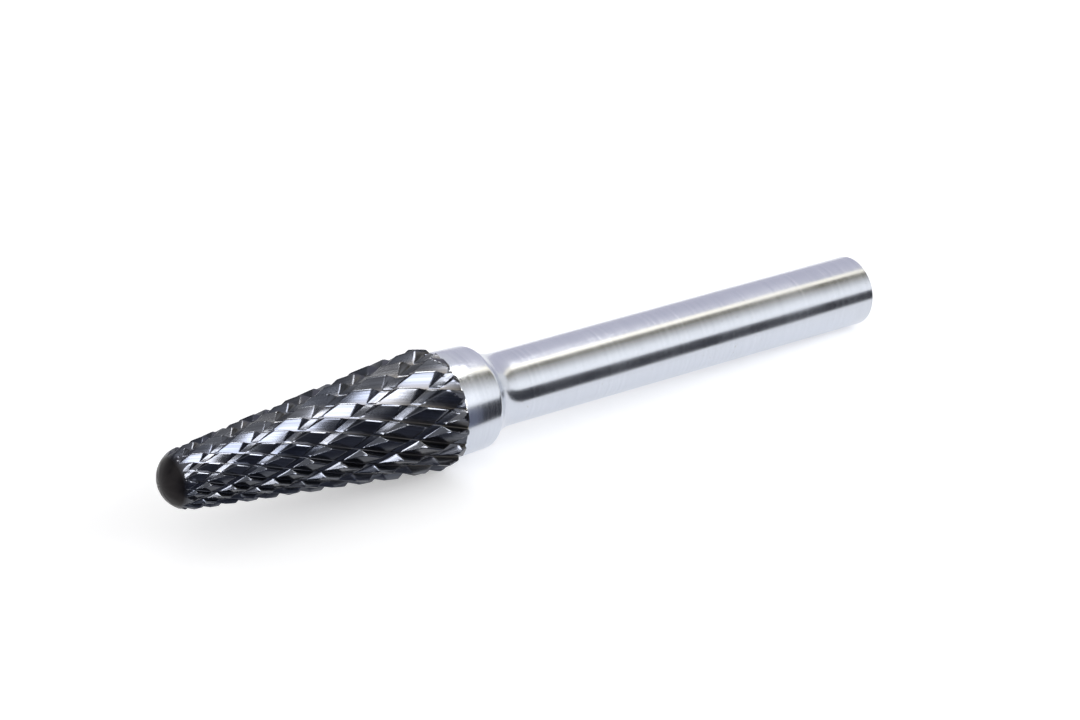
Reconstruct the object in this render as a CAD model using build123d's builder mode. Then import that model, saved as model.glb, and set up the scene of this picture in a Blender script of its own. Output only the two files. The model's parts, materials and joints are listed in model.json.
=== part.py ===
"""A double-cut carbide burr: a ball-nosed cone brazed to a steel shank, lying on a bench."""
import os
from math import asin, atan2, cos, hypot, log, pi, radians, sin, sqrt, tan

from build123d import *

# ---- Driving dimensions, in millimetres and degrees ----

overall_length = 70.0

# Cutting head
head_length = 25.0
head_diameter = 10.0        # over the cutting edges, at the crest ring
nose_radius = 2.45
back_bevel_length = 1.2     # the head narrows again behind the crest ring
back_bevel_depth = 0.3

# Main flutes, right-hand; their sizes are those at the crest ring
flute_count = 18
flute_helix = 20.5
flute_depth = 0.67
flute_land = 0.14           # the narrow top left behind each cutting edge
rake_width = 0.26           # how far the steep leading face reaches round the head

# Chip breakers, left-hand; their sizes are those at the crest ring
breaker_count = 10
breaker_helix = 23.6
breaker_depth = 0.38
breaker_width = 1.4         # round the head, at the top of the groove
breaker_floor = 0.36        # flat of the grinding wheel

# Brazed joint
braze_thickness = 0.12
braze_bead = 0.05           # how far the alloy stands proud of the collar

# Shank with its collar
shank_diameter = 6.0
shank_end_chamfer = 0.4
collar_setback = 0.35       # of the collar's front edge, inside the rim of the head's back face
collar_taper = 0.15         # how much the collar's radius falls towards the neck
collar_length = 3.5
collar_edge_radius = 0.6
neck_radius = 3.9           # hollow curve from the collar down to the shank

# ---- The head's outline ----

# The cone touches the nose ball and passes through the crest ring, where the head is widest.
# Heights are measured from the tip of the nose towards the shank.
crest_radius = head_diameter / 2
crest_height = head_length - back_bevel_length
cone_reach = crest_height - nose_radius
cone_angle = atan2(crest_radius, cone_reach) - asin(nose_radius / hypot(crest_radius, cone_reach))
tangent_radius = nose_radius * cos(cone_angle)
tangent_height = nose_radius * (1 - sin(cone_angle))


def cone_radius(height):
    """Radius of the cone at a height, also past its two ends."""
    return tangent_radius + (height - tangent_height) * tan(cone_angle)


def helix_turn(height, helix_angle):
    """Angle that a groove of constant helix angle has turned through, from the crest ring."""
    return tan(radians(helix_angle)) / sin(cone_angle) * log(cone_radius(height) / crest_radius)


def groove_stations():
    """Heights of the sections through which a groove cutter is lofted, past both ends."""
    station_count = 9
    overrun = 1.5
    step = (head_length + 2 * overrun) / (station_count - 1)
    return [i * step - overrun for i in range(station_count)]


def groove_plane(height, turn):
    """Plane across the head, with its X axis through the middle of the groove."""
    return Plane(origin=(0, 0, height), x_dir=(cos(turn), sin(turn), 0), z_dir=(0, 0, 1))


# ---- How the burr lies ----

# It rests on the two crests beside its lowest line and on the rim of the shank's end, so its
# axis dips towards the shank. The origin is on the bench, under the middle of its length.
flute_pitch = 2 * pi / flute_count
shank_radius = shank_diameter / 2
end_radius = shank_radius - shank_end_chamfer
rim_height = overall_length - shank_end_chamfer
tilt = atan2(crest_radius * cos(flute_pitch / 2) - shank_radius, rim_height - crest_height)
along = Vector(cos(tilt), 0, -sin(tilt))
down = Vector(-sin(tilt), 0, -cos(tilt))
level_length = overall_length * cos(tilt) + end_radius * sin(tilt)
nose_overhang = nose_radius * (1 - cos(tilt))
tip = Vector(
    (nose_overhang - level_length) / 2, 0, rim_height * sin(tilt) + shank_radius * cos(tilt)
)

# The grooves are set out across the tool axis, and round forms are turned in a plane through it.
tool = Plane(origin=tip, x_dir=down, z_dir=along)
turning = Plane(origin=tip, x_dir=down, z_dir=(0, -1, 0))
tool_axis = Axis(tip, along)

# ---- Cutters for the two sets of grooves, about their own upright axis ----

# Each flank runs on past the top of its groove, so that the cutter stands clear of the head.
flank_reach = 1.5


def around(radius, width):
    """Point at a radius, to one side of the groove's middle by a width measured at the crest ring."""
    turn = width / crest_radius
    return Vector(radius * cos(turn), radius * sin(turn))


def flank_end(bottom, top):
    """Outer end of the flank that starts at the groove's bottom and passes through its top."""
    return bottom + (top - bottom) * flank_reach


# A flute runs from the land of one tooth down its long relief face to the gullet, and up the
# steep rake face of the next tooth. All of it shrinks with the cone, as the ground flutes do.
with BuildPart() as flute_cutter:
    half_opening = (flute_pitch * crest_radius - flute_land) / 2
    for height in groove_stations():
        land_radius = cone_radius(height)
        gullet_radius = land_radius * (1 - flute_depth / crest_radius)
        gullet = around(gullet_radius, half_opening - rake_width)
        with BuildSketch(groove_plane(height, helix_turn(height, flute_helix))):
            with BuildLine():
                Polyline(
                    gullet,
                    flank_end(gullet, around(land_radius, half_opening)),
                    flank_end(gullet, around(land_radius, -half_opening)),
                    close=True,
                )
            make_face()
    loft()

# A chip breaker is a shallow flat-bottomed groove that crosses the flutes the other way.
with BuildPart() as breaker_cutter:
    for height in groove_stations():
        land_radius = cone_radius(height)
        floor_radius = land_radius * (1 - breaker_depth / crest_radius)
        floor_left = around(floor_radius, -breaker_floor / 2)
        floor_right = around(floor_radius, breaker_floor / 2)
        with BuildSketch(groove_plane(height, -helix_turn(height, breaker_helix))):
            with BuildLine():
                Polyline(
                    floor_left,
                    floor_right,
                    flank_end(floor_right, around(land_radius, breaker_width / 2)),
                    flank_end(floor_left, around(land_radius, -breaker_width / 2)),
                    close=True,
                )
            make_face()
    loft()

# ---- Cutting head ----

with BuildPart(tool) as cutting_head:
    with BuildSketch(turning):
        with BuildLine():
            nose = RadiusArc((0, 0), (tangent_radius, tangent_height), -nose_radius)
            Polyline(
                nose @ 1,
                (crest_radius, crest_height),
                (crest_radius - back_bevel_depth, head_length),
                (0, head_length),
                (0, 0),
            )
        make_face()
    revolve(axis=tool_axis)
    with PolarLocations(0, flute_count):
        add(flute_cutter.part, mode=Mode.SUBTRACT, clean=False)
    # One chip breaker crosses the crest ring at its lowest line, clear of the crests beside it.
    with PolarLocations(0, breaker_count):
        add(breaker_cutter.part, mode=Mode.SUBTRACT, clean=False)

# ---- Brazed joint ----

# The collar is a little smaller than the head's back face, and the alloy follows the collar.
collar_front_radius = crest_radius - back_bevel_depth - collar_setback

with BuildPart() as braze_joint:
    with BuildSketch(tool.offset(head_length)):
        Circle(collar_front_radius + braze_bead)
    extrude(amount=braze_thickness)

# ---- Shank ----

with BuildPart() as shank:
    collar_height = head_length + braze_thickness
    collar_rear = (collar_front_radius - collar_taper, collar_height + collar_length)
    neck_rise = collar_rear[0] - shank_radius
    neck_length = sqrt(neck_radius**2 - (neck_radius - neck_rise) ** 2)
    neck_end = (shank_radius, collar_rear[1] + neck_length)
    with BuildSketch(turning):
        with BuildLine():
            Line((0, collar_height), (collar_front_radius, collar_height))
            Line((collar_front_radius, collar_height), collar_rear)
            RadiusArc(collar_rear, neck_end, neck_radius)
            Polyline(
                neck_end,
                (shank_radius, rim_height),
                (end_radius, overall_length),
                (0, overall_length),
                (0, collar_height),
            )
        make_face()
    revolve(axis=tool_axis)
    rims = shank.edges().filter_by(GeomType.CIRCLE)
    fillet(rims.sort_by_distance(turning.from_local_coords((*collar_rear, 0)))[0], collar_edge_radius)

# ---- Write each piece ----

os.makedirs("parts", exist_ok=True)
cutting_head.part.label = "cutting_head"
braze_joint.part.label = "braze_joint"
shank.part.label = "shank"
export_step(cutting_head.part, "parts/cutting_head.step")
export_step(braze_joint.part, "parts/braze_joint.step")
export_step(shank.part, "parts/shank.step")
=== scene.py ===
import json
from math import asin, atan2, cos, e, hypot, log, pi, radians, sin, sqrt, tan

import bpy
from mathutils import Matrix, Vector


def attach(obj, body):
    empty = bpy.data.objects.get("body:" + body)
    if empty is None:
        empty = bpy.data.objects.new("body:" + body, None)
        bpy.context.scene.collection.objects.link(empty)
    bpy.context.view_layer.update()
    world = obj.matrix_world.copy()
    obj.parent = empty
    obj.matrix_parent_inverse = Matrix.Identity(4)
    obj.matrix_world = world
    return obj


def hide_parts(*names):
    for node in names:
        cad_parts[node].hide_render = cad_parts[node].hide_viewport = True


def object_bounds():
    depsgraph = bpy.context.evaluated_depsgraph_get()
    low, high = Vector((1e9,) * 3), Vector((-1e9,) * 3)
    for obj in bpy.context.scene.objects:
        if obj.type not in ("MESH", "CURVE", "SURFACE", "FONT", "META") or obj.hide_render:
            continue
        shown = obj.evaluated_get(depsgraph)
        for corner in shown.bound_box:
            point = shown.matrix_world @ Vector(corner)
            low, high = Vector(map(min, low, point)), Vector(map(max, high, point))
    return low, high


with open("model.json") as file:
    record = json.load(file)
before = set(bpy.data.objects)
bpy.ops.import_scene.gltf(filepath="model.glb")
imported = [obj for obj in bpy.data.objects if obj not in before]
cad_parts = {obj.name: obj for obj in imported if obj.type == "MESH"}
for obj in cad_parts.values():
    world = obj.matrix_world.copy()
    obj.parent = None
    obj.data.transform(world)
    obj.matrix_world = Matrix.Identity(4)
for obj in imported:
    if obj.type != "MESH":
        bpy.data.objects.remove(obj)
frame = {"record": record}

cad_low, cad_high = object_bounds()

# ---------------------------------------------------------------------------
# Cutting head
# The head is sintered tungsten carbide, a cone with a ball nose. A diamond wheel grinds the
# right-hand flutes and then the left-hand chip breakers, which leave rows of separate teeth.
# ---------------------------------------------------------------------------

# Sizes are in metres. The head is worked out about its own axis, upwards from the nose, and
# is then laid along the tool axis, which is that of the shank's mount.
mm = 0.001
shank_mount = frame["record"]["mounts"][0]
tool_axis = Vector(shank_mount["axis"])
rim_height = 69.6 * mm
tool_tip = Vector(shank_mount["pos_m"]) - tool_axis * rim_height
tool_dip = asin(-tool_axis.z)
lay_down = Matrix.Translation(tool_tip) @ Matrix.Rotation(pi / 2 + tool_dip, 4, "Y")

head_length = 25.0 * mm
crest_radius = 5.0 * mm
crest_height = 23.8 * mm
back_bevel = 0.3 * mm
nose_radius = 2.45 * mm
cone_reach = crest_height - nose_radius
cone_angle = atan2(crest_radius, cone_reach) - asin(nose_radius / hypot(crest_radius, cone_reach))

# Lines of the head's mesh: flute lines run up it to the right and breaker lines to the left.
# There are as many of one as of the other, so breaker lines are the diagonals of the squares.
flute_count, lines_per_flute = 18, 15
breaker_count, lines_per_breaker = 10, 27
cap_rings = 16
tooth_rings = 234
bevel_rings = 8
back_rings = 5


class Sum:
    """A number in the head's node tree, so that its shape is written as plain sums."""

    def __init__(self, tree, socket):
        self.tree, self.socket = tree, socket

    def worked(self, operation, *others):
        node = self.tree.nodes.new("ShaderNodeMath")
        node.operation = operation
        for entry, value in zip(node.inputs, (self, *others)):
            if isinstance(value, Sum):
                self.tree.links.new(value.socket, entry)
            else:
                entry.default_value = value
        return Sum(self.tree, node.outputs[0])

    def __add__(self, other):
        return self.worked("ADD", other)

    def __mul__(self, other):
        return self.worked("MULTIPLY", other)

    __rmul__ = __mul__

    def __sub__(self, other):
        return self.worked("SUBTRACT", other)

    def __rsub__(self, other):
        return self.worked("MULTIPLY", -1.0).worked("ADD", other)

    def __truediv__(self, other):
        return self.worked("DIVIDE", other)

    def __rtruediv__(self, other):
        return self.worked("POWER", -1.0) * other

    def held(self, low, high):
        return self.worked("MAXIMUM", low).worked("MINIMUM", high)

    def through(self, points):
        """Follows straight lines through points given as (value here, value wanted)."""
        total = points[0][1]
        for (start, low), (stop, high) in zip(points, points[1:]):
            share = (self - start).held(0.0, stop - start) * (1 / (stop - start))
            total = share * (high - low) + total
        return total


def head_tree():
    """Node tree of the ground head. Its sizes are the tree's inputs."""
    tree = bpy.data.node_groups.new("Double-cut head", "GeometryNodeTree")
    tree.interface.new_socket("Geometry", in_out="OUTPUT", socket_type="NodeSocketGeometry")
    source = tree.nodes.new("NodeGroupInput")
    size = {}
    for name, value in (
        ("Flute Helix", radians(20.5)),
        ("Flute Depth", 0.67 * mm),
        ("Land Width", 0.14 * mm),
        ("Rake Width", 0.26 * mm),
        ("Breaker Helix", radians(23.6)),
        ("Breaker Depth", 0.62 * mm),
        ("Breaker Width", 1.8 * mm),
        ("Breaker Floor", 0.7 * mm),
        ("Edge Break", 0.012 * mm),
        ("Uneven Grinding", 0.014 * mm),
    ):
        entry = tree.interface.new_socket(name, in_out="INPUT", socket_type="NodeSocketFloat")
        entry.default_value = value
        size[name] = entry.identifier
    finish = tree.interface.new_socket("Finish", in_out="INPUT", socket_type="NodeSocketMaterial")
    size["Finish"] = finish.identifier
    given = {socket.name: Sum(tree, socket) for socket in source.outputs if socket.name}

    columns = flute_count * lines_per_flute
    rings = cap_rings + tooth_rings + bevel_rings + back_rings + 1
    flute_pitch = 2 * pi / flute_count * crest_radius
    breaker_pitch = 2 * pi / breaker_count * crest_radius

    sheet = tree.nodes.new("GeometryNodeMeshGrid")
    sheet.inputs["Vertices X"].default_value = columns + 1
    sheet.inputs["Vertices Y"].default_value = rings
    split = tree.nodes.new("GeometryNodeTriangulate")
    split.inputs[1].default_value = True
    tree.links.new(sheet.outputs["Mesh"], split.inputs[0])

    index = Sum(tree, tree.nodes.new("GeometryNodeInputIndex").outputs[0])
    column = (index / rings).worked("FLOOR")
    ring = index - column * rings

    # Across one flute: the land behind a cutting edge, the long relief face, the gullet, and
    # the steep rake face that rises to the next edge.
    land, rake = given["Land Width"], given["Rake Width"]
    edge, depth = given["Edge Break"], given["Flute Depth"]
    flute = (column / lines_per_flute).worked("FLOOR")
    gullet = flute_pitch - rake
    across = (column - flute * lines_per_flute).through(
        [
            (0, edge * -1.0),
            (1, edge),
            (2, land - edge * 2.0),
            (3, land + edge * 2.0),
            (4, land + edge * 8.0),
            (10, gullet - 0.30 * mm),
            (11, gullet - 0.16 * mm),
            (12, gullet - 0.05 * mm),
            (13, gullet + 0.02 * mm),
            (14, gullet + 0.12 * mm),
            (15, flute_pitch - edge),
        ]
    )
    fallen = (across - land) / (gullet - land)
    risen = (flute_pitch - across) / rake
    below_edge = (across * -1.0).held(0.0, flute_pitch) / rake
    relief_sag = (
        (across - land).held(0.0, flute_pitch)
        * (gullet - across).held(0.0, flute_pitch)
        * (0.5 / crest_radius)
    )
    sunk = fallen.worked("MINIMUM", risen).held(0.0, 1.0).worked("MAXIMUM", below_edge)
    flute_floor = sunk * depth + relief_sag

    # Across one chip breaker: its flat floor and its two sloping walls. Its lines follow the
    # edge that each wall makes with the face it cuts.
    half_floor = given["Breaker Floor"] * 0.5
    half_width = given["Breaker Width"] * 0.5
    breaker_depth = given["Breaker Depth"]
    left_to_cut = (1.0 - flute_floor / breaker_depth).held(0.0, 1.0)
    wall_top = (half_floor + (half_width - half_floor) * left_to_cut).worked(
        "MAXIMUM", half_floor + 0.1 * mm
    )
    # The count of lines starts at the one that meets the crest ring with the first flute line.
    first_edge = (flute_pitch * 0.5 - land * 0.5) / crest_radius
    first_line = 7
    line = column + ring - (cap_rings + tooth_rings - first_line)
    breaker = (line / lines_per_breaker + 0.5).worked("FLOOR")
    from_middle = line - breaker * lines_per_breaker
    side = from_middle.worked("SIGN")
    offset = from_middle.worked("ABSOLUTE").through(
        [
            (0, 0.0),
            (1, half_floor - 0.03 * mm),
            (2, half_floor + 0.03 * mm),
            (5, wall_top - 0.05 * mm),
            (6, wall_top + 0.05 * mm),
            (13.5, breaker_pitch / 2),
        ]
    )
    flute_turn = first_edge + flute * (flute_pitch / crest_radius) + across / crest_radius
    breaker_turn = breaker * (breaker_pitch / crest_radius) + offset * side / crest_radius

    # How far up the cone: the logarithm of its radius over the crest's. The two helices have
    # a constant angle, so a flute line and a breaker line cross at one such height.
    flute_lead = given["Flute Helix"].worked("TANGENT") / sin(cone_angle)
    breaker_lead = given["Breaker Helix"].worked("TANGENT") / sin(cone_angle)
    both_leads = flute_lead + breaker_lead
    ring_step = (2 * pi / columns) / both_leads
    crossing = (breaker_turn - flute_turn) / both_leads
    level = (ring - (cap_rings + tooth_rings)) * ring_step
    tangent_radius = nose_radius * cos(cone_angle)
    tangent_height = nose_radius * (1 - sin(cone_angle))
    back_level = log(
        (tangent_radius + (head_length - tangent_height) * tan(cone_angle)) / crest_radius
    )
    # Behind the crest ring, the rings are drawn out so that the last lies on the back face.
    far_below, ring_rise = -9.0, 0.0033835
    bevel_level = bevel_rings * ring_rise
    level = level.through([(far_below, far_below), (0.0, 0.0), (bevel_level, back_level)])
    freed = ring.through(
        [
            (cap_rings, 0.0),
            (cap_rings + 9, 1.0),
            (cap_rings + tooth_rings + 0.5, 1.0),
            (cap_rings + tooth_rings + bevel_rings, 0.0),
        ]
    )
    climb = level + (crossing - level) * freed
    cone = climb.worked("EXPONENT") * crest_radius
    cone_height = (cone - tangent_radius) / tan(cone_angle) + tangent_height

    # The rings of the nose cap are spaced by angle round the ball, up to the lowest tooth ring.
    cap_level = ring_step * (-1.0 * tooth_rings)
    cap_height = (cap_level.worked("EXPONENT") * crest_radius - tangent_radius) / tan(
        cone_angle
    ) + tangent_height
    cap_angle = (1.0 - cap_height / nose_radius).worked("ARCCOSINE")
    ball_angle = (ring / cap_rings).held(0.0, 1.0) * cap_angle
    ball_height = nose_radius - ball_angle.worked("COSINE") * nose_radius
    in_cap = ring.worked("LESS_THAN", cap_rings - 0.5)
    height = (ball_height * in_cap + cone_height * (1.0 - in_cap)).held(0.0, head_length)
    cone = (height - tangent_height) * tan(cone_angle) + tangent_radius
    climb = (cone / crest_radius).worked("LOGARITHM", e)

    # The head's outline: the ball, the cone, and the bevel behind the crest ring.
    on_ball = (height * (2 * nose_radius - height)).worked("MAXIMUM", 0.0).worked("SQRT")
    past_ball = height.worked("GREATER_THAN", tangent_height)
    bevelled = crest_radius - (height - crest_height) * (back_bevel / (head_length - crest_height))
    outline = (on_ball * (1.0 - past_ball) + cone * past_ball).worked("MINIMUM", bevelled)

    # The lower of the two grooves is what shows, and all of it shrinks with the cone.
    turned = flute_turn + climb * flute_lead
    breaker_phase = (turned + climb * breaker_lead) * (crest_radius / breaker_pitch) + 0.5
    breaker_place = breaker_phase.worked("FLOOR")
    from_breaker = (
        (breaker_phase - breaker_place - 0.5).worked("ABSOLUTE") * breaker_pitch - half_floor
    )
    wall_left = (from_breaker / (half_width - half_floor)).held(0.0, 4.0)
    breaker_floor = breaker_depth * (1.0 - wall_left)
    ground = flute_floor.worked("MAXIMUM", breaker_floor)

    # No two teeth are ground quite alike. A tooth is known by its flute and its row.
    lines_before_edge, rows_allowed = 2.0, 64.0
    own_flute = (column / lines_per_flute + lines_before_edge / lines_per_flute).worked("FLOOR")
    tooth = own_flute * rows_allowed + (breaker_phase - 0.5).worked("FLOOR")
    chance = tree.nodes.new("FunctionNodeRandomValue")
    chance.data_type = "FLOAT"
    chance.inputs["Seed"].default_value = 7
    tree.links.new(tooth.socket, chance.inputs["ID"])
    tooth_chance = Sum(tree, chance.outputs[1])
    ground = ground + tooth_chance * given["Uneven Grinding"] * fallen.held(0.0, 1.0)

    cut = cone * (1.0 - ground / crest_radius)
    radius = outline.worked("MINIMUM", cut)
    closing = (ring - (cap_rings + tooth_rings + bevel_rings)).held(0.0, back_rings)
    radius = radius * (1.0 - closing / back_rings)

    place = tree.nodes.new("ShaderNodeCombineXYZ")
    for entry, value in zip(
        place.inputs,
        (radius * turned.worked("COSINE"), radius * turned.worked("SINE"), height),
    ):
        tree.links.new(value.socket, entry)
    move = tree.nodes.new("GeometryNodeSetPosition")
    tree.links.new(split.outputs[0], move.inputs["Geometry"])
    tree.links.new(place.outputs[0], move.inputs["Position"])

    def noted(geometry, name, value, kind="FLOAT"):
        """Keeps a value on the mesh, for the material."""
        node = tree.nodes.new("GeometryNodeStoreNamedAttribute")
        node.data_type = kind
        node.inputs["Name"].default_value = name
        tree.links.new(geometry, node.inputs["Geometry"])
        tree.links.new(value, node.inputs["Value"])
        return node.outputs[0]

    below = (cone - radius).held(0.0, 1.0) * (1.0 / mm)
    in_breaker = breaker_floor.worked("GREATER_THAN", flute_floor)
    near_edge = 1.0 - (across.worked("ABSOLUTE") / (0.10 * mm)).held(0.0, 1.0)
    shape = noted(move.outputs[0], "sunk_mm", below.socket)
    shape = noted(shape, "tooth", tooth_chance.socket)
    shape = noted(shape, "breaker", in_breaker.socket)
    shape = noted(shape, "edge", (near_edge * (1.0 - in_breaker)).socket)
    # Grinding lines follow the flute, so the noise that makes them is turned back with it.
    line_turn = flute_turn * (1.0 - in_breaker) + (turned + climb * breaker_lead) * in_breaker
    lines = tree.nodes.new("ShaderNodeCombineXYZ")
    for entry, value in zip(
        lines.inputs, (line_turn.worked("COSINE"), line_turn.worked("SINE"), climb)
    ):
        tree.links.new(value.socket, entry)
    shape = noted(shape, "grind", lines.outputs[0], "FLOAT_VECTOR")

    merge = tree.nodes.new("GeometryNodeMergeByDistance")
    merge.inputs["Distance"].default_value = 0.0004 * mm
    tree.links.new(shape, merge.inputs["Geometry"])
    lay = tree.nodes.new("GeometryNodeTransform")
    lay.inputs["Translation"].default_value = tool_tip
    lay.inputs["Rotation"].default_value = (0.0, pi / 2 + tool_dip, 0.0)
    tree.links.new(merge.outputs[0], lay.inputs["Geometry"])
    real = tree.nodes.new("GeometryNodeRealizeInstances")
    tree.links.new(lay.outputs[0], real.inputs[0])
    dress = tree.nodes.new("GeometryNodeSetMaterial")
    tree.links.new(real.outputs[0], dress.inputs["Geometry"])
    tree.links.new(given["Finish"].socket, dress.inputs["Material"])
    sink = tree.nodes.new("NodeGroupOutput")
    tree.links.new(dress.outputs[0], sink.inputs[0])
    return tree, size


class Finish:
    """A material with its shader, and short ways to build the nodes that feed it."""

    def __init__(self, name, metallic):
        self.material = bpy.data.materials.new(name)
        self.material.use_nodes = True
        self.tree = self.material.node_tree
        self.shader = self.tree.nodes["Principled BSDF"]
        self.shader.inputs["Metallic"].default_value = metallic

    def node(self, kind, inputs=(), **settings):
        """A new node with its settings, and its inputs given as values or as sockets."""
        node = self.tree.nodes.new(kind)
        for name, value in settings.items():
            setattr(node, name, value)
        for name, value in dict(inputs).items():
            if isinstance(value, bpy.types.NodeSocket):
                self.tree.links.new(value, node.inputs[name])
            else:
                node.inputs[name].default_value = value
        return node

    def kept(self, name, output="Fac"):
        """A value that the piece's mesh carries."""
        return self.node("ShaderNodeAttribute", attribute_name=name).outputs[output]

    def along_tool(self):
        """Place on the tool: heights from the nose are in Z, and X points down at the bench."""
        turn_back = lay_down.inverted()
        place = self.node("ShaderNodeTexCoord").outputs["Object"]
        inputs = {
            "Vector": place,
            "Location": turn_back.translation,
            "Rotation": turn_back.to_euler(),
        }
        return self.node("ShaderNodeMapping", inputs).outputs[0]

    def range(self, value, low, high, low_result=0.0, high_result=1.0):
        """The value's place between low and high, drawn out between the two results."""
        inputs = {0: value, 1: low, 2: high, 3: low_result, 4: high_result}
        return self.node("ShaderNodeMapRange", inputs).outputs[0]

    def math(self, operation, first, second=0.0):
        inputs = {0: first, 1: second}
        return self.node("ShaderNodeMath", inputs, operation=operation).outputs[0]

    def mix(self, share, first, second):
        """Goes from the first colour to the second as share goes from 0 to 1."""
        inputs = {0: share, 6: first, 7: second}
        return self.node("ShaderNodeMix", inputs, data_type="RGBA").outputs[2]

    def group(self, tree, **inputs):
        return self.node("ShaderNodeGroup", inputs, node_tree=tree)

    def feed(self, name, socket):
        self.tree.links.new(socket, self.shader.inputs[name])

    def bumped(self, height, distance, strength):
        """Raises the surface by the height, at most by the distance in metres."""
        inputs = {"Height": height, "Distance": distance, "Strength": strength}
        self.feed("Normal", self.node("ShaderNodeBump", inputs).outputs[0])


def wheel_lines_group():
    """Fine lines left by a grinding wheel or a turning tool, drawn out by the stretch."""
    tree = bpy.data.node_groups.new("Wheel lines", "ShaderNodeTree")
    for name, kind in (("Vector", "NodeSocketVector"), ("Stretch", "NodeSocketVector")):
        tree.interface.new_socket(name, in_out="INPUT", socket_type=kind)
    for name in ("Height", "Streaks"):
        tree.interface.new_socket(name, in_out="OUTPUT", socket_type="NodeSocketFloat")
    source, sink = tree.nodes.new("NodeGroupInput"), tree.nodes.new("NodeGroupOutput")
    drawn = tree.nodes.new("ShaderNodeVectorMath")
    drawn.operation = "MULTIPLY"
    tree.links.new(source.outputs["Vector"], drawn.inputs[0])
    tree.links.new(source.outputs["Stretch"], drawn.inputs[1])
    for entry, scale, detail in ((0, 1.0, 3.0), (1, 0.23, 2.0)):
        noise = tree.nodes.new("ShaderNodeTexNoise")
        noise.inputs["Scale"].default_value = scale
        noise.inputs["Detail"].default_value = detail
        noise.inputs["Roughness"].default_value = 0.6
        tree.links.new(drawn.outputs[0], noise.inputs["Vector"])
        tree.links.new(noise.outputs["Fac"], sink.inputs[entry])
    return tree


def handling_group():
    """The cloudy film that fingers and oil leave on bare metal, with a few small specks."""
    tree = bpy.data.node_groups.new("Handling film", "ShaderNodeTree")
    tree.interface.new_socket("Vector", in_out="INPUT", socket_type="NodeSocketVector")
    for name in ("Film", "Specks"):
        tree.interface.new_socket(name, in_out="OUTPUT", socket_type="NodeSocketFloat")
    source, sink = tree.nodes.new("NodeGroupInput"), tree.nodes.new("NodeGroupOutput")
    for entry, scale, low, high in ((0, 260.0, 0.35, 0.7), (1, 5200.0, 0.68, 0.76)):
        noise = tree.nodes.new("ShaderNodeTexNoise")
        noise.inputs["Scale"].default_value = scale
        noise.inputs["Detail"].default_value = 4.0
        spread = tree.nodes.new("ShaderNodeMapRange")
        spread.inputs[1].default_value = low
        spread.inputs[2].default_value = high
        tree.links.new(source.outputs["Vector"], noise.inputs["Vector"])
        tree.links.new(noise.outputs["Fac"], spread.inputs[0])
        tree.links.new(spread.outputs[0], sink.inputs[entry])
    return tree


wheel_lines, handling_film = wheel_lines_group(), handling_group()

carbide = Finish("Ground carbide", metallic=1.0)
tool_place = carbide.along_tool()
flute_lines = carbide.group(
    wheel_lines, Vector=carbide.kept("grind", "Vector"), Stretch=(110.0, 110.0, 5.0)
)
film = carbide.group(handling_film, Vector=tool_place)
in_breaker = carbide.kept("breaker")
in_gullet = carbide.math(
    "SUBTRACT", carbide.range(carbide.kept("sunk_mm"), 0.35, 0.68), in_breaker
)
in_gullet = carbide.math("MAXIMUM", in_gullet, 0.0)
tooth_tone = carbide.mix(
    carbide.kept("tooth"), (0.060, 0.066, 0.084, 1.0), (0.090, 0.093, 0.104, 1.0)
)
# Painted shade: the gullets, the hollows between teeth, are painted a darker brown. The roughness
# added there is the real finish.
with_painted_gullet_shade = carbide.mix(in_gullet, tooth_tone, (0.050, 0.046, 0.042, 1.0))
# Painted glint: the cutting edges are painted lighter, so they show as bright lines along each
# flute.
painted_edge_glint = carbide.math("MULTIPLY", carbide.kept("edge"), 0.5)
with_painted_edge_glint = carbide.mix(painted_edge_glint, with_painted_gullet_shade, (0.22, 0.23, 0.25, 1.0))
streaked = carbide.range(flute_lines.outputs["Streaks"], 0.3, 0.7, 0.8, 1.2)
ground_colour = carbide.node(
    "ShaderNodeVectorMath", {0: with_painted_edge_glint, 1: streaked}, operation="MULTIPLY"
).outputs[0]
nose_height = carbide.node("ShaderNodeSeparateXYZ", {0: tool_place}).outputs["Z"]
unground = carbide.range(nose_height, 1.25 * mm, 0.85 * mm)
carbide.feed("Base Color", carbide.mix(unground, ground_colour, (0.022, 0.020, 0.021, 1.0)))
base_roughness = carbide.range(film.outputs["Film"], 0.0, 1.0, 0.17, 0.25)
rough = carbide.math("ADD", base_roughness, carbide.math("MULTIPLY", in_gullet, 0.16))
carbide.feed("Roughness", carbide.math("ADD", rough, carbide.math("MULTIPLY", unground, 0.10)))
carbide.bumped(flute_lines.outputs["Height"], 0.004 * mm, 0.6)

tree, size = head_tree()
head = bpy.data.objects.new("cutting_head_ground", bpy.data.meshes.new("cutting_head_ground"))
bpy.context.scene.collection.objects.link(head)
grinding = head.modifiers.new("Grinding", "NODES")
grinding.node_group = tree
grinding[size["Finish"]] = carbide.material
made = head.evaluated_get(bpy.context.evaluated_depsgraph_get())
head_mesh = bpy.data.meshes.new_from_object(made)
head.modifiers.remove(grinding)
head.data = head_mesh
head_mesh.materials.clear()
head_mesh.materials.append(carbide.material)
head_mesh.polygons.foreach_set("material_index", [0] * len(head_mesh.polygons))
head_mesh.shade_smooth()
head_mesh.set_sharp_from_angle(angle=radians(28))
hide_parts("cutting_head")
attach(head, "root")

# ---------------------------------------------------------------------------
# Brazed joint
# A thin disc of silver brazing alloy, melted between the head's back face and the collar.
# It stands a hair proud of the collar as a pale bead all round.
# ---------------------------------------------------------------------------

braze_radius = 4.4 * mm
braze_thickness = 0.12 * mm


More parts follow.
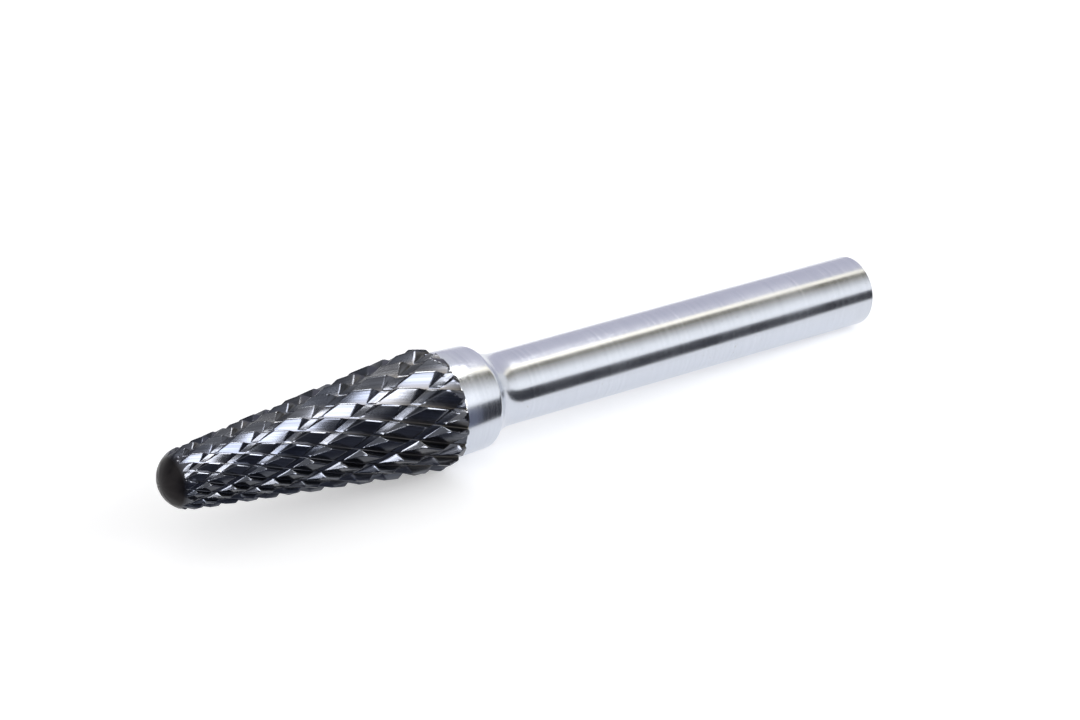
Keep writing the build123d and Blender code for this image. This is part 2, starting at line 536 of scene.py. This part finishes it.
def turned(name, profile, segments=192):
    """A round piece on the tool axis. The profile is given as (height, radius), axis to axis."""
    corners, faces = [(0.0, 0.0, profile[0][0])], []
    for height, radius in profile[1:-1]:
        for step in range(segments):
            angle = 2 * pi * step / segments
            corners.append((radius * cos(angle), radius * sin(angle), height))
    corners.append((0.0, 0.0, profile[-1][0]))
    last = len(corners) - 1
    for step in range(segments):
        after = (step + 1) % segments
        faces.append((0, 1 + after, 1 + step))
        for ring in range(len(profile) - 3):
            low, high = 1 + ring * segments, 1 + (ring + 1) * segments
            faces.append((low + step, low + after, high + after, high + step))
        top = 1 + (len(profile) - 3) * segments
        faces.append((top + step, top + after, last))
    mesh = bpy.data.meshes.new(name)
    mesh.from_pydata(corners, [], faces)
    mesh.transform(lay_down)
    mesh.shade_smooth()
    mesh.set_sharp_from_angle(angle=radians(28))
    piece = bpy.data.objects.new(name, mesh)
    bpy.context.scene.collection.objects.link(piece)
    return piece


def rounded(before, corner, after, radius, steps=5):
    """Points of the small arc that breaks a profile's corner."""
    before, corner, after = Vector(before), Vector(corner), Vector(after)
    back, on = (before - corner).normalized(), (after - corner).normalized()
    half = back.angle(on) / 2
    reach = radius / tan(half)
    centre = corner + (back + on).normalized() * (radius / sin(half))
    start = (corner + back * reach - centre).normalized()
    stop = (corner + on * reach - centre).normalized()
    return [centre + start.slerp(stop, step / steps) * radius for step in range(steps + 1)]


braze_top = head_length + braze_thickness
bead = 0.05 * mm
braze = turned(
    "braze_bead",
    [(head_length, 0.0), (head_length, 3.0 * mm)]
    + rounded((head_length, 0.0), (head_length, braze_radius), (braze_top, braze_radius), bead)
    + rounded((head_length, braze_radius), (braze_top, braze_radius), (braze_top, 0.0), bead)
    + [(braze_top, 3.0 * mm), (braze_top, 0.0)],
)
silver = Finish("Silver braze", metallic=1.0)
film = silver.group(handling_film, Vector=silver.along_tool())
silver.feed(
    "Base Color",
    silver.mix(film.outputs["Film"], (0.78, 0.72, 0.58, 1.0), (0.60, 0.55, 0.46, 1.0)),
)
silver.feed("Roughness", silver.range(film.outputs["Film"], 0.0, 1.0, 0.28, 0.45))
silver.bumped(film.outputs["Specks"], 0.01 * mm, 0.5)
braze.data.materials.append(silver.material)
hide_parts("braze_joint")
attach(braze, "root")

# ---------------------------------------------------------------------------
# Shank
# One piece of tool steel, turned with a collar and a hollow neck. The cylinder that a collet
# grips is then ground to size, which leaves very fine lines round it.
# ---------------------------------------------------------------------------

shank_radius = 3.0 * mm
shank_end = 70.0 * mm
end_chamfer = shank_end - rim_height
collar_front = (braze_top, 4.35 * mm)
collar_rear = (braze_top + 3.5 * mm, 4.2 * mm)
neck_radius = 3.9 * mm
neck_rise = collar_rear[1] - shank_radius
neck_length = sqrt(neck_radius**2 - (neck_radius - neck_rise) ** 2)
neck_steps = 12
neck_start = asin(neck_length / neck_radius)
neck = []
for step in range(1, neck_steps + 1):
    angle = neck_start * (1 - step / neck_steps)
    neck.append(
        (
            collar_rear[0] + neck_length - neck_radius * sin(angle),
            shank_radius + neck_radius * (1 - cos(angle)),
        )
    )
rim = (rim_height, shank_radius)
end_edge = (shank_end, shank_radius - end_chamfer)
broken_edge = 0.06 * mm
ground_length = [
    (neck[-1][0] + (rim_height - neck[-1][0]) * share, shank_radius) for share in (0.25, 0.5, 0.75)
]
shank = turned(
    "shank_turned",
    [(braze_top, 0.0), (braze_top, 3.0 * mm)]
    + rounded((braze_top, 0.0), collar_front, collar_rear, broken_edge)
    + rounded(collar_front, collar_rear, neck[0], 0.6 * mm, 8)
    + neck[1:]
    + ground_length
    + rounded(neck[-1], rim, end_edge, broken_edge)
    + rounded(rim, end_edge, (shank_end, 0.0), broken_edge)
    + [(shank_end, 1.2 * mm), (shank_end, 0.0)],
)
steel = Finish("Ground tool steel", metallic=1.0)
tool_place = steel.along_tool()
turning = steel.group(wheel_lines, Vector=tool_place, Stretch=(150.0, 150.0, 16000.0))
film = steel.group(handling_film, Vector=tool_place)
toned = steel.mix(turning.outputs["Streaks"], (0.50, 0.53, 0.59, 1.0), (0.63, 0.66, 0.72, 1.0))
steel.feed("Base Color", steel.mix(film.outputs["Specks"], toned, (0.36, 0.35, 0.35, 1.0)))
shine = steel.range(turning.outputs["Streaks"], 0.3, 0.7, 0.15, 0.21)
clouded = steel.math("MULTIPLY", film.outputs["Film"], 0.06)
steel.feed("Roughness", steel.math("ADD", shine, clouded))
steel.bumped(turning.outputs["Height"], 0.002 * mm, 0.7)
shank.data.materials.append(steel.material)
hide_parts("shank")
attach(shank, "root")

# ---------------------------------------------------------------------------
# Bench and light
# The burr lies on a plain white bench in a white room. Long cards, two low flags and soft
# lamps stand round the tool, so that the polished steel shows bands along its length.
# ---------------------------------------------------------------------------

scene = bpy.context.scene
scene.view_settings.view_transform = "Standard"

bench_reach = 3.0
corners = [(-1, -1), (1, -1), (1, 1), (-1, 1)]
bench_mesh = bpy.data.meshes.new("bench")
bench_mesh.from_pydata(
    [(x * bench_reach, y * bench_reach, cad_low.z) for x, y in corners], [], [(0, 1, 2, 3)]
)
bench = bpy.data.objects.new("bench", bench_mesh)
scene.collection.objects.link(bench)
white = Finish("White bench", metallic=0.0)
white.shader.inputs["Base Color"].default_value = (0.86, 0.86, 0.87, 1.0)
white.shader.inputs["Roughness"].default_value = 0.9
white.shader.inputs["Emission Color"].default_value = (1.0, 1.0, 1.0, 1.0)
bench_glow = 0.38


def seen_directly(tree):
    """1 for the rays that show the background: from the camera, and off metal or through glass."""
    light_path = tree.nodes.new("ShaderNodeLightPath")
    seen = light_path.outputs["Is Camera Ray"]
    for name in ("Is Glossy Ray", "Is Transmission Ray"):
        either = tree.nodes.new("ShaderNodeMath")
        either.operation = "MAXIMUM"
        tree.links.new(seen, either.inputs[0])
        tree.links.new(light_path.outputs[name], either.inputs[1])
        seen = either.outputs[0]
    return seen


white.feed("Emission Strength", white.math("MULTIPLY", seen_directly(white.tree), bench_glow))
white.material.cycles.emission_sampling = "NONE"
bench_mesh.materials.append(white.material)

# Cards, each a long strip beside the tool. One is given by the angles round the tool where it
# starts and stops, from the bench in front over the top to the bench behind, by how far along
# the tool it reaches, and by its glow at both edges. The steel sees those towards the shank's
# end, and the head those towards the nose.
card_distance = 1.2
far_nose, split, far_end = -3.0, 0.56, 3.0
slate, umber, lavender = (0.045, 0.050, 0.065), (0.21, 0.19, 0.14), (0.75, 0.73, 0.82)
for name, start, stop, nose_side, end_side, first_glow, last_glow in (
    ("slate_card", -1, 9, far_nose, far_end, slate, slate),
    ("window_card", 9, 34, split, far_end, (1.45, 1.45, 1.45), (1.20, 1.20, 1.20)),
    ("fading_card", 34, 68, split, far_end, (1.20, 1.20, 1.20), umber),
    ("umber_card", 68, 78, split, far_end, umber, umber),
    ("cream_card", 79, 90, split, far_end, (1.85, 1.70, 1.38), (1.85, 1.70, 1.38)),
    ("lavender_card", 93, 181, split, far_end, lavender, (0.68, 0.67, 0.78)),
    ("dim_card", 9, 52, far_nose, split, (0.28, 0.29, 0.34), (0.34, 0.34, 0.36)),
    ("rear_card", 112, 150, far_nose, split, (0.55, 0.56, 0.60), (0.20, 0.21, 0.25)),
):
    edges = []
    for angle in (radians(start), radians(stop)):
        y, z = -cos(angle) * card_distance, sin(angle) * card_distance
        edges += [(nose_side, y, z), (end_side, y, z)]
    card_mesh = bpy.data.meshes.new(name)
    card_mesh.from_pydata(edges, [], [(0, 1, 3, 2)])
    glow = card_mesh.attributes.new("glow", "FLOAT_COLOR", "POINT")
    for point, colour in enumerate((first_glow, first_glow, last_glow, last_glow)):
        glow.data[point].color = (*colour, 1.0)
    card = bpy.data.objects.new(name, card_mesh)
    scene.collection.objects.link(card)
    matt = Finish(name, metallic=0.0)
    matt.shader.inputs["Base Color"].default_value = (0.0, 0.0, 0.0, 1.0)
    matt.shader.inputs["Specular IOR Level"].default_value = 0.0
    matt.shader.inputs["Emission Strength"].default_value = 1.0
    matt.feed("Emission Color", matt.kept("glow", "Color"))
    matt.material.cycles.emission_sampling = "NONE"
    card_mesh.materials.append(matt.material)
    card.visible_camera = card.visible_diffuse = card.visible_shadow = False

# Two low flags stand close in front of the tool and hide the bench from its lower side: a dark
# blue one for the head, with a foot under the head's near side, and a black one for the steel.
flag_distance = 11 * mm
flag_rise = 2.1 * mm
foot_end, foot_depth, foot_lift = -10.6 * mm, 5.0 * mm, 0.02 * mm
for name, nose_side, end_side, colour in (
    ("blue_flag", -62 * mm, -4 * mm, (0.25, 0.27, 0.36, 1.0)),
    ("black_flag", -4 * mm, 58 * mm, (0.03, 0.03, 0.04, 1.0)),
):
    flag_corners = []
    for x in (nose_side, end_side):
        axis_height = (tool_tip + tool_axis * ((x - tool_tip.x) / tool_axis.x)).z
        flag_corners += [(x, -flag_distance, z) for z in (cad_low.z, axis_height + flag_rise)]
    flag_faces = [(0, 2, 3, 1)]
    # The foot is painted shade: a dark sheet on the bench under the head, seen only in
    # reflections, where the bench lies in the head's shadow.
    if nose_side < foot_end < end_side:
        for x in (nose_side, foot_end):
            flag_corners += [(x, -y, cad_low.z + foot_lift) for y in (flag_distance, foot_depth)]
        flag_faces.append((4, 6, 7, 5))
    flag_mesh = bpy.data.meshes.new(name)
    flag_mesh.from_pydata(flag_corners, [], flag_faces)
    flag = bpy.data.objects.new(name, flag_mesh)
    scene.collection.objects.link(flag)
    cloth = Finish(name, metallic=0.0)
    cloth.shader.inputs["Base Color"].default_value = colour
    cloth.shader.inputs["Roughness"].default_value = 1.0
    flag_mesh.materials.append(cloth.material)
    flag.visible_camera = flag.visible_diffuse = flag.visible_shadow = False


def soft_lamp(name, place, length, width, radiance, colour):
    """A flat lamp that faces the tool, as bright as its radiance wherever it is seen."""
    light = bpy.data.lights.new(name, "AREA")
    light.shape = "RECTANGLE"
    light.size, light.size_y = length, width
    light.energy = radiance * pi * length * width
    light.color = colour
    lamp = bpy.data.objects.new(name, light)
    lamp.location = place
    lamp.rotation_euler = (-Vector(place)).to_track_quat("-Z", "Y").to_euler()
    lamp.visible_camera = False
    scene.collection.objects.link(lamp)
    return lamp


# Two lamps only draw highlights on the teeth, and a broad one only lights the scene.
for highlight in (
    soft_lamp("overhead_lamp", (0.19, -0.01, 0.50), 0.22, 0.16, 16.0, (1.0, 0.97, 0.90)),
    soft_lamp("front_lamp", (0.06, -0.86, 0.50), 0.54, 0.62, 14.5, (1.0, 1.0, 1.0)),
):
    highlight.visible_diffuse = False
broad_lamp = soft_lamp("broad_lamp", (0.75, -0.80, 0.62), 0.9, 0.46, 3.0, (1.0, 1.0, 1.0))
broad_lamp.visible_glossy = False

room = bpy.data.worlds.new("White room")
scene.world = room
room.use_nodes = True
background = room.node_tree.nodes["Background"]
background.inputs["Color"].default_value = (1.0, 1.0, 1.0, 1.0)
room_light = 0.72
level = room.node_tree.nodes.new("ShaderNodeMapRange")
level.inputs[3].default_value = room_light
room.node_tree.links.new(seen_directly(room.node_tree), level.inputs[0])
room.node_tree.links.new(level.outputs[0], background.inputs["Strength"])

# ---------------------------------------------------------------------------
# Camera
# It looks down along the tool from the nose's side, through a long lens.
# ---------------------------------------------------------------------------

lens = bpy.data.cameras.new("camera")
lens.lens = 101.93
camera = bpy.data.objects.new("camera", lens)
scene.collection.objects.link(camera)
azimuth, elevation = radians(-37.84), radians(24.91)
back = Vector((sin(azimuth) * cos(elevation), -cos(azimuth) * cos(elevation), sin(elevation)))
aim = Vector((-0.103, -0.777, 6.468)) * mm
distance_mm = 244.8
camera.location = aim + back * distance_mm * mm
camera.rotation_euler = (-back).to_track_quat("-Z", "Y").to_euler()
scene.camera = camera
